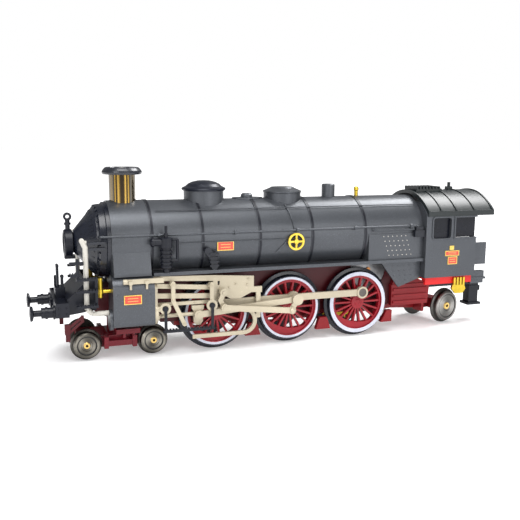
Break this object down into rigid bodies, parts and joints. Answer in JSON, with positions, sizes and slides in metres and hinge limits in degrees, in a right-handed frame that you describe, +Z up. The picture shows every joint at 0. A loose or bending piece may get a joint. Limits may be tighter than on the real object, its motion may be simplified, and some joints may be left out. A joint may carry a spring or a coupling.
{
  "type": "scale model steam locomotive",
  "caption": "Scale model of a six-coupled express steam locomotive with leading bogie, trailing truck, outside cylinders, turning wheels and rods, and sprung buffers.",
  "frame": {"origin": "on the ground under the middle driving axle, which is the middle of the whole length", "axes": "+X towards the front, +Y to the locomotive's left, +Z up"},
  "size_m": [0.1706, 0.0342, 0.0603],
  "materials": {
    "body_grey": "satin enamel",
    "chassis_red": "satin",
    "chimney_brass": "polished",
    "copper_core": "wound core",
    "fitting_brass": "bright",
    "frame_red": "satin",
    "glazing": "clear",
    "motion_ivory": "pale nickel-coloured",
    "motor_steel": "plain",
    "plate_red": "red with a gold border",
    "roof_green": "satin enamel",
    "sill_red": "satin",
    "smokebox_black": "satin enamel",
    "steel": "turned",
    "trim_black": "satin",
    "tyre_black": "gloss with a pale face ring",
    "wheel_red": "gloss"
  },
  "bodies": {
    "locomotive": {"chassis": "chassis_red", "motor_housing": "motor_steel", "keeper_plate": "frame_red", "frame_screws": "steel", "rear_frame": "frame_red", "valve_gear": "motion_ivory", "cylinder_block": "body_grey", "cylinder_covers": "motion_ivory", "boiler_shell": "body_grey", "smokebox_door": "smokebox_black", "chimney": "chimney_brass", "sand_dome_lid": "smokebox_black", "steam_dome": "body_grey", "handrails": "body_grey", "boiler_fittings": "smokebox_black", "air_pump": "trim_black", "running_boards": "body_grey", "cab": "body_grey", "cab_roof": "roof_green", "cab_glazing": "glazing", "cab_sills": "sill_red", "buffer_beam": "trim_black", "steam_pipes": "motion_ivory", "guard_irons": "chassis_red", "steps": "trim_black", "front_lamp": "trim_black", "brass_fittings": "fitting_brass", "blank_plates": "plate_red"},
    "front_drivers": {"front_driver_tyres": "tyre_black", "front_driver_centres": "wheel_red", "front_driver_axle": "steel", "front_crank_screws": "steel"},
    "middle_drivers": {"middle_driver_tyres": "tyre_black", "middle_driver_centres": "wheel_red", "middle_driver_axle": "steel", "return_cranks": "motion_ivory"},
    "rear_drivers": {"rear_driver_tyres": "tyre_black", "rear_driver_centres": "wheel_red", "rear_driver_axle": "steel", "rear_crank_screws": "steel", "axle_gear": "fitting_brass"},
    "armature": {"armature": "copper_core"},
    "bogie": {"bogie_frame": "wheel_red"},
    "bogie_front_wheelset": {"bogie_front_wheels": "steel"},
    "bogie_rear_wheelset": {"bogie_rear_wheels": "steel"},
    "trailing_truck": {"trailing_truck_frame": "frame_red"},
    "trailing_wheelset": {"trailing_wheels": "steel"},
    "drawbar": {"drawbar": "trim_black"},
    "left_coupling_rod": {"left_coupling_rod": "motion_ivory"},
    "left_main_rod": {"left_main_rod": "motion_ivory"},
    "left_eccentric_rod": {"left_eccentric_rod": "motion_ivory"},
    "left_crosshead": {"left_crosshead": "motion_ivory"},
    "left_expansion_link": {"left_expansion_link": "motion_ivory"},
    "left_buffer": {"left_buffer": "trim_black"},
    "right_coupling_rod": {"right_coupling_rod": "motion_ivory"},
    "right_main_rod": {"right_main_rod": "motion_ivory"},
    "right_eccentric_rod": {"right_eccentric_rod": "motion_ivory"},
    "right_crosshead": {"right_crosshead": "motion_ivory"},
    "right_expansion_link": {"right_expansion_link": "motion_ivory"},
    "right_buffer": {"right_buffer": "trim_black"}
  },
  "joints": [
    {"name": "middle_spin", "type": "hinge", "parent": "locomotive", "child": "middle_drivers", "pos_m": [0, 0, 0.0124], "axis": [0, 1, 0], "continuous": true},
    {"name": "front_spin", "type": "hinge", "parent": "locomotive", "child": "front_drivers", "pos_m": [0.0263, 0, 0.0124], "axis": [0, 1, 0], "continuous": true},
    {"name": "rear_spin", "type": "hinge", "parent": "locomotive", "child": "rear_drivers", "pos_m": [-0.0263, 0, 0.0124], "axis": [0, 1, 0], "continuous": true},
    {"name": "armature_spin", "type": "hinge", "parent": "locomotive", "child": "armature", "pos_m": [-0.03255, 0, 0.02322], "axis": [0, 1, 0], "continuous": true},
    {"name": "bogie_swing", "type": "hinge", "parent": "locomotive", "child": "bogie", "pos_m": [0.0579, 0, 0.007], "axis": [0, 0, 1], "range_deg": [-6, 6]},
    {"name": "bogie_front_spin", "type": "hinge", "parent": "bogie", "child": "bogie_front_wheelset", "pos_m": [0.0685, 0, 0.005], "axis": [0, 1, 0], "continuous": true},
    {"name": "bogie_rear_spin", "type": "hinge", "parent": "bogie", "child": "bogie_rear_wheelset", "pos_m": [0.0473, 0, 0.005], "axis": [0, 1, 0], "continuous": true},
    {"name": "truck_swing", "type": "hinge", "parent": "locomotive", "child": "trailing_truck", "pos_m": [-0.0412, 0, 0.008], "axis": [0, 0, 1], "range_deg": [-26, 0]},
    {"name": "drawbar_swing", "type": "hinge", "parent": "locomotive", "child": "drawbar", "pos_m": [-0.06, 0, 0.0148], "axis": [0, 0, 1], "range_deg": [-8, 8]},
    {"name": "trailing_spin", "type": "hinge", "parent": "trailing_truck", "child": "trailing_wheelset", "pos_m": [-0.06605, -0.00574, 0.0067], "axis": [-0.225, 0.9744, 0], "continuous": true},
    {"name": "left_coupling_rod_turn", "type": "hinge", "parent": "middle_drivers", "child": "left_coupling_rod", "pos_m": [-0.00088, 0.01085, 0.0162], "axis": [0, 1, 0], "continuous": true},
    {"name": "left_main_rod_turn", "type": "hinge", "parent": "middle_drivers", "child": "left_main_rod", "pos_m": [-0.00088, 0.01395, 0.0162], "axis": [0, 1, 0], "continuous": true},
    {"name": "left_eccentric_rod_turn", "type": "hinge", "parent": "middle_drivers", "child": "left_eccentric_rod", "pos_m": [0.00153, 0.0159, 0.01288], "axis": [0, 1, 0], "continuous": true},
    {"name": "left_crosshead_slide", "type": "slide", "parent": "locomotive", "child": "left_crosshead", "axis": [1, 0, 0], "range_m": [-0.00292, 0.00488]},
    {"name": "left_link_swing", "type": "hinge", "parent": "locomotive", "child": "left_expansion_link", "pos_m": [0.0252, 0.015, 0.0203], "axis": [0, 1, 0], "range_deg": [-1, 47]},
    {"name": "left_buffer_press", "type": "slide", "parent": "locomotive", "child": "left_buffer", "axis": [1, 0, 0], "range_m": [-0.0015, 0], "stiffness_N_per_m": 150, "springref_m": 0.0005},
    {"name": "right_coupling_rod_turn", "type": "hinge", "parent": "middle_drivers", "child": "right_coupling_rod", "pos_m": [0.0038, -0.01085, 0.01328], "axis": [0, 1, 0], "continuous": true},
    {"name": "right_main_rod_turn", "type": "hinge", "parent": "middle_drivers", "child": "right_main_rod", "pos_m": [0.0038, -0.01395, 0.01328], "axis": [0, 1, 0], "continuous": true},
    {"name": "right_eccentric_rod_turn", "type": "hinge", "parent": "middle_drivers", "child": "right_eccentric_rod", "pos_m": [0.00048, -0.0159, 0.01087], "axis": [0, 1, 0], "continuous": true},
    {"name": "right_crosshead_slide", "type": "slide", "parent": "locomotive", "child": "right_crosshead", "axis": [1, 0, 0], "range_m": [-0.00772, 0.00009]},
    {"name": "right_link_swing", "type": "hinge", "parent": "locomotive", "child": "right_expansion_link", "pos_m": [0.0252, -0.015, 0.0203], "axis": [0, 1, 0], "range_deg": [-18, 30]},
    {"name": "right_buffer_press", "type": "slide", "parent": "locomotive", "child": "right_buffer", "axis": [1, 0, 0], "range_m": [-0.0015, 0], "stiffness_N_per_m": 150, "springref_m": 0.0005}
  ],
  "couplings": [
    {"joint": "front_spin", "follows": "middle_spin", "ratio": 1},
    {"joint": "rear_spin", "follows": "middle_spin", "ratio": 1},
    {"joint": "armature_spin", "follows": "middle_spin", "ratio": -3.1667},
    {"joint": "left_coupling_rod_turn", "follows": "middle_spin", "ratio": -1},
    {"joint": "left_main_rod_turn", "follows": "middle_spin", "ratio": -1},
    {"joint": "left_eccentric_rod_turn", "follows": "middle_spin", "ratio": -1},
    {"joint": "right_coupling_rod_turn", "follows": "middle_spin", "ratio": -1},
    {"joint": "right_main_rod_turn", "follows": "middle_spin", "ratio": -1},
    {"joint": "right_eccentric_rod_turn", "follows": "middle_spin", "ratio": -1}
  ]
}
